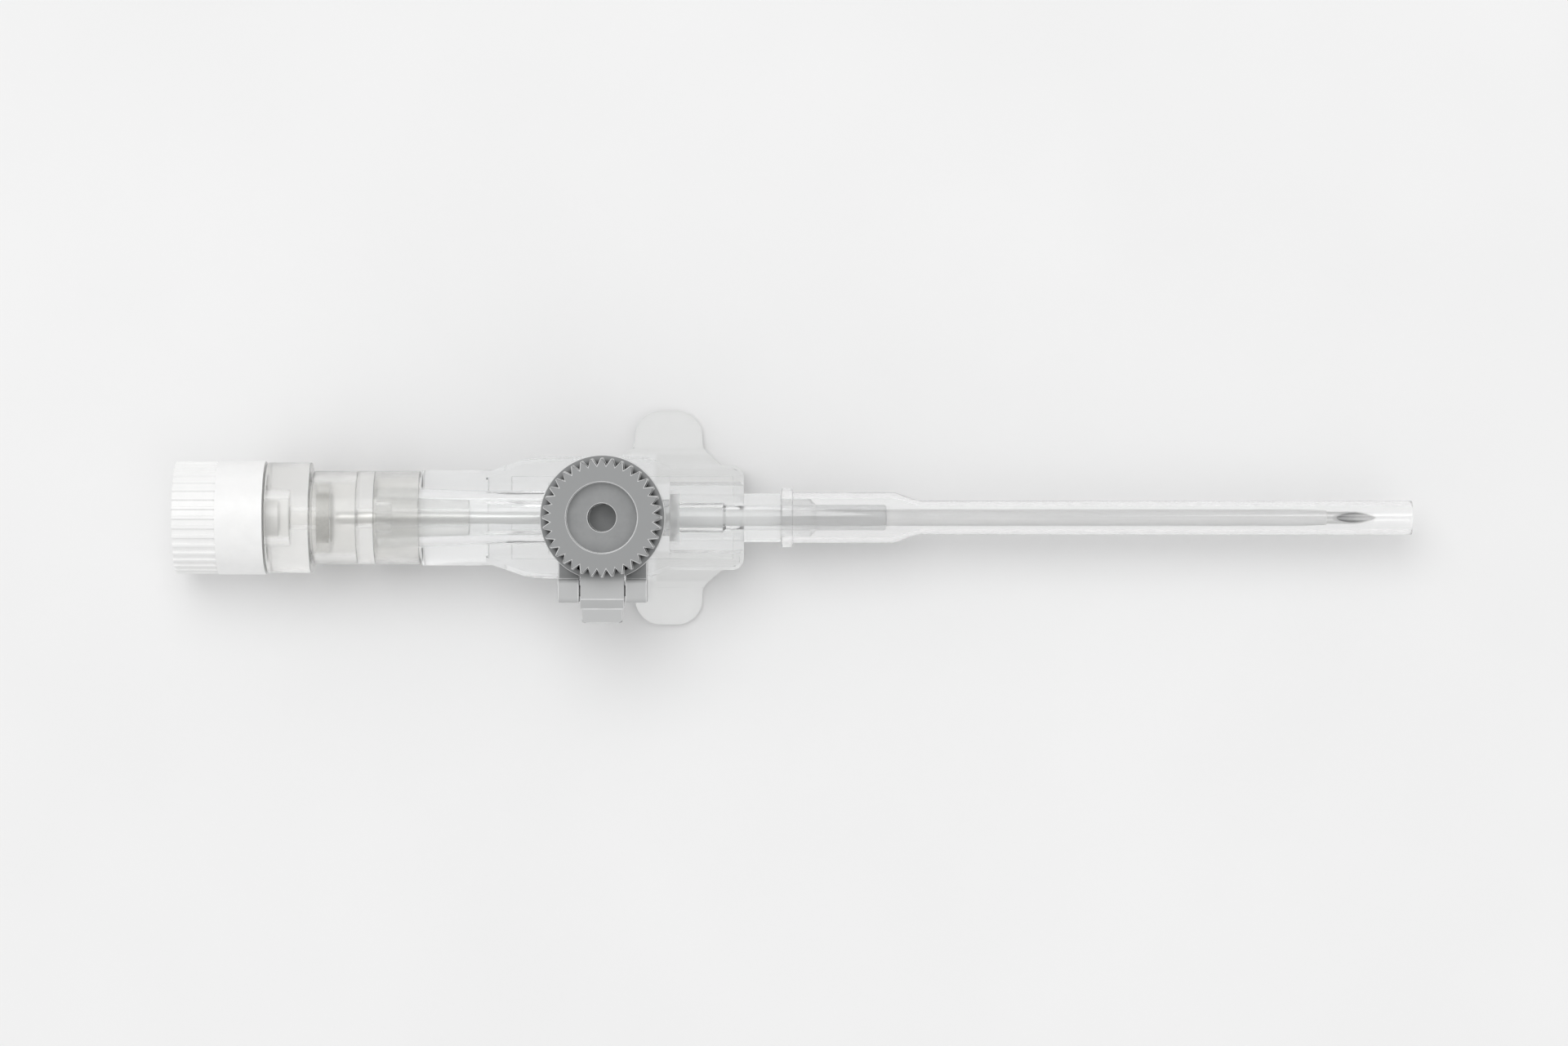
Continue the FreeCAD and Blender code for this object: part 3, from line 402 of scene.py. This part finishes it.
def steel(name):
    """Drawn stainless steel with fine lines along the tube, a ground bevel, and painted shade in
    its bore, darkest at the rear.
    """
    material, tree, shader = new_material(name)
    shader.inputs["Metallic"].default_value = 1.0
    lines = noise(tree, 0.05 * MM, detail=2.0, stretch=(0.02, 1, 1))
    drawn = blend(tree, lines, (0.57, 0.57, 0.565), (0.67, 0.67, 0.66))
    scratches = noise(tree, 0.04 * MM, stretch=(1, 0.05, 1))
    ground = blend(tree, scratches, (0.42, 0.42, 0.42), (0.55, 0.55, 0.55))

    slope = math.atan2(2 * NEEDLE_RADIUS, BEVEL_LENGTH)
    coords = add_node(tree, "TexCoord")
    facing = add_node(tree, "VectorMath", operation="DOT_PRODUCT")
    facing.inputs[1].default_value = (math.sin(slope), 0, math.cos(slope))
    tree.links.new(coords.outputs["Normal"], facing.inputs[0])
    bevel = rise(tree, facing.outputs["Value"], *BEVEL_FACING)
    colour = overlay(tree, bevel, drawn, ground)

    # Painted shade inside the bore: near black at its rear, lighter towards the open tip.
    x, y, z = axes(tree)
    along = rise(tree, x, BEVEL_START_X, BEVEL_START_X + BEVEL_LENGTH)
    bore = blend(tree, along, BORE_SHADE_REAR_COLOUR, BORE_SHADE_TIP_COLOUR, start=0.0, end=1.0)
    colour = overlay(tree, fall(tree, from_axis(tree, y, z), *BORE_WALL), colour, bore)
    tree.links.new(colour, shader.inputs["Base Color"])
    tree.links.new(spread(tree, lines, 0.3, 0.42), shader.inputs["Roughness"])
    bump(tree, shader, lines, strength=0.2, depth=0.004 * MM)
    return material


def milky(name, light, dark, clearness):
    """Translucent soft plastic with faint lines along it."""
    material, tree, shader = new_material(name)
    shader.inputs["Transmission Weight"].default_value = clearness
    shader.inputs["IOR"].default_value = SOFT_IOR
    lines = noise(tree, 0.3 * MM, stretch=(0.05, 1, 1))
    tree.links.new(blend(tree, lines, dark, light), shader.inputs["Base Color"])
    tree.links.new(spread(tree, lines, 0.3, 0.42), shader.inputs["Roughness"])
    bump(tree, shader, lines, strength=0.15, depth=0.006 * MM)
    return material


def porous(name):
    """Sintered white filter."""
    material, tree, shader = new_material(name)
    shader.inputs["Roughness"].default_value = 0.85
    cells = add_node(tree, "TexVoronoi")
    cells.inputs["Scale"].default_value = 1.0 / (0.16 * MM)
    tree.links.new(place(tree), cells.inputs["Vector"])
    grains = cells.outputs["Distance"]
    colour = blend(tree, grains, (0.72, 0.72, 0.7), (0.88, 0.88, 0.86))
    tree.links.new(colour, shader.inputs["Base Color"])
    bump(tree, shader, grains, strength=0.6, depth=0.05 * MM)
    return material


HUB = hub_plastic("clear_hub")
CHAMBER = clear_plastic(
    "clear_chamber", pale=(1.0, 0.998, 0.985), deep=(0.995, 0.992, 0.975),
    clearness=0.94, rough=(0.14, 0.24),
)
GUARD = clear_plastic(
    "clear_guard", pale=(1.0, 1.0, 1.0), deep=(0.997, 0.998, 0.998), clearness=0.95, ripple=0.0,
)
CATHETER = milky("catheter", light=(0.99, 0.99, 0.985), dark=(0.965, 0.965, 0.96), clearness=0.25)
SILICONE = milky("silicone", light=(0.9, 0.9, 0.88), dark=(0.84, 0.84, 0.82), clearness=0.5)
STEEL = steel("steel")
FILTER = porous("filter")
WHITE_PLUG = satin_plastic(
    "white_plug", light=(0.915, 0.915, 0.91), dark=(0.885, 0.885, 0.88), rough=(0.3, 0.42),
)
GREY = cap_plastic("grey_plastic")
# Painted highlight: a pale grey for the rounded edges of the cap and collar, in place of light
# caught by those edges.
GREY_EDGE_HIGHLIGHT = satin_plastic(
    "grey_edge_highlight", light=(0.72, 0.725, 0.725), dark=(0.62, 0.625, 0.625), rough=(0.3, 0.4),
)
MATERIALS = {
    "catheter_hub": HUB,
    "needle_hub": CHAMBER,
    "rear_luer_piece": CHAMBER,
    "needle_guard": GUARD,
    "catheter_tube": CATHETER,
    "valve_sleeve": SILICONE,
    "introducer_needle": STEEL,
    "catheter_eyelet": STEEL,
    "vent_filter": FILTER,
    "luer_lock_plug": WHITE_PLUG,
    "port_cap": GREY,
    "port_collar": GREY,
}
EDGE_HIGHLIGHT_MATERIALS = {"port_cap": GREY_EDGE_HIGHLIGHT, "port_collar": GREY_EDGE_HIGHLIGHT}


# Finish of the pieces
def shade_smooth(mesh):
    """Smooth shading on every face."""
    for face in mesh.polygons:
        face.use_smooth = True


def round_edges(piece, width):
    """Round a piece's sharp edges, as a mould leaves them."""
    edge = piece.modifiers.new("edge", "BEVEL")
    edge.width = width
    edge.segments = EDGE_SEGMENTS
    return edge


def finish_node(name):
    """Give a CAD piece its material, smooth shading and moulded edges."""
    piece = NODES[name]
    piece.data.materials.clear()
    piece.data.materials.append(MATERIALS[name])
    shade_smooth(piece.data)
    weld = piece.modifiers.new("weld", "WELD")
    weld.merge_threshold = WELD_GAP
    edge = round_edges(piece, EDGE_ROUND[name])
    edge.limit_method = "ANGLE"
    edge.angle_limit = SHARP_ANGLE
    edge.face_strength_mode = "FSTR_ALL"
    edge.use_clamp_overlap = name not in FREE_EDGES
    # The rounded edges of the cap and collar take the pale grey of the painted highlight.
    if name in EDGE_HIGHLIGHT_MATERIALS:
        piece.data.materials.append(EDGE_HIGHLIGHT_MATERIALS[name])
        edge.material = 1
    normals = piece.modifiers.new("normals", "WEIGHTED_NORMAL")
    normals.mode = "CORNER_ANGLE"
    normals.keep_sharp = True
    normals.use_face_influence = True


def add_plug_thread():
    """Two raised threads wound along the collar's bore, which the luer lugs turn into."""
    mesh = bmesh.new()
    for start in range(THREAD_STARTS):
        rings = []
        for step in range(THREAD_STEPS + 1):
            share = step / THREAD_STEPS
            along = THREAD_REAR_X + (THREAD_FRONT_X - THREAD_REAR_X) * share
            turns = (along - THREAD_REAR_X) / THREAD_LEAD + start / THREAD_STARTS
            angle = 2 * math.pi * turns
            fade = min(1.0, THREAD_FADE * share, THREAD_FADE * (1 - share))
            crest = THREAD_ROOT - (THREAD_ROOT - THREAD_CREST) * fade
            profile = (
                (-THREAD_HALF_ROOT, THREAD_ROOT), (-THREAD_HALF_CREST, crest),
                (THREAD_HALF_CREST, crest), (THREAD_HALF_ROOT, THREAD_ROOT),
            )
            rings.append([
                mesh.verts.new((
                    along + shift,
                    radius * math.sin(angle),
                    AXIS_HEIGHT + radius * math.cos(angle),
                ))
                for shift, radius in profile
            ])
        for before, after in zip(rings, rings[1:]):
            for index in range(len(before)):
                beside = (index + 1) % len(before)
                mesh.faces.new((before[index], before[beside], after[beside], after[index]))
        mesh.faces.new(reversed(rings[0]))
        mesh.faces.new(rings[-1])
    bmesh.ops.recalc_face_normals(mesh, faces=mesh.faces)
    data = bpy.data.meshes.new("plug_thread")
    mesh.to_mesh(data)
    mesh.free()
    shade_smooth(data)
    data.materials.append(WHITE_PLUG)
    thread = bpy.data.objects.new("plug_thread", data)
    bpy.context.scene.collection.objects.link(thread)
    round_edges(thread, THREAD_EDGE)
    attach(thread, "plug")


# Floor, world and lamps
def any_of(tree, kinds):
    """1 for a ray of any of these kinds, otherwise 0."""
    path = add_node(tree, "LightPath")
    total = path.outputs[kinds[0]]
    for kind in kinds[1:]:
        larger = add_node(tree, "Math", operation="MAXIMUM")
        tree.links.new(total, larger.inputs[0])
        tree.links.new(path.outputs[kind], larger.inputs[1])
        total = larger.outputs[0]
    return total


def mix_shaders(tree, share, first, second, output):
    """Send a mix of two shaders to the output."""
    mix = add_node(tree, "MixShader")
    tree.links.new(share, mix.inputs["Fac"])
    tree.links.new(first, mix.inputs[1])
    tree.links.new(second, mix.inputs[2])
    tree.links.new(mix.outputs["Shader"], output.inputs["Surface"])


def add_floor():
    """A pale matt floor, which metal and glass see a little brighter."""
    bpy.ops.mesh.primitive_plane_add(size=FLOOR_SIZE, location=(0, 0, -FLOOR_GAP))
    floor = bpy.context.object
    floor.name = "floor"
    material, tree, shader = new_material("floor")
    colour = blend(tree, noise(tree, 40 * MM, detail=4.0), FLOOR_DARK, FLOOR_LIGHT)
    tree.links.new(colour, shader.inputs["Base Color"])
    shader.inputs["Roughness"].default_value = FLOOR_ROUGHNESS
    shader.inputs["Specular IOR Level"].default_value = FLOOR_SPECULAR
    glow = add_node(tree, "Emission")
    glow.inputs["Color"].default_value = (*FLOOR_GLOW, 1.0)
    share = add_node(tree, "Math", operation="MULTIPLY")
    share.inputs[1].default_value = FLOOR_GLOW_SHARE
    tree.links.new(any_of(tree, ("Is Transmission Ray", "Is Glossy Ray")), share.inputs[0])
    mix_shaders(
        tree, share.outputs[0], shader.outputs["BSDF"], glow.outputs["Emission"],
        tree.nodes["Material Output"],
    )
    floor.data.materials.append(material)


def add_world():
    """An even white sky, which the camera, metal and glass see as a pale wall."""
    world = bpy.data.worlds.new("world")
    world.use_nodes = True
    tree = world.node_tree
    light = tree.nodes["Background"]
    light.inputs["Color"].default_value = (1.0, 1.0, 1.0, 1.0)
    light.inputs["Strength"].default_value = WORLD_LIGHT
    seen = add_node(tree, "Background")
    seen.inputs["Color"].default_value = (*WORLD_SEEN, 1.0)
    seen.inputs["Strength"].default_value = 1.0
    mix_shaders(
        tree, any_of(tree, ("Is Camera Ray", "Is Glossy Ray", "Is Transmission Ray")),
        light.outputs["Background"], seen.outputs["Background"], tree.nodes["World Output"],
    )
    bpy.context.scene.world = world


def add_lamp(name, location, size, power):
    """A soft square lamp aimed at the middle of the object."""
    data = bpy.data.lights.new(name, "AREA")
    data.size = size
    data.energy = power
    lamp = bpy.data.objects.new(name, data)
    lamp.location = location
    aim = Vector(LAMP_AIM) - Vector(location)
    lamp.rotation_euler = aim.to_track_quat("-Z", "Y").to_euler()
    bpy.context.scene.collection.objects.link(lamp)


add_camera()
for node_name in NODES:
    finish_node(node_name)
add_plug_thread()
add_floor()
add_world()
for lamp_values in LAMPS:
    add_lamp(**lamp_values)
bpy.context.scene.view_settings.view_transform = "Standard"
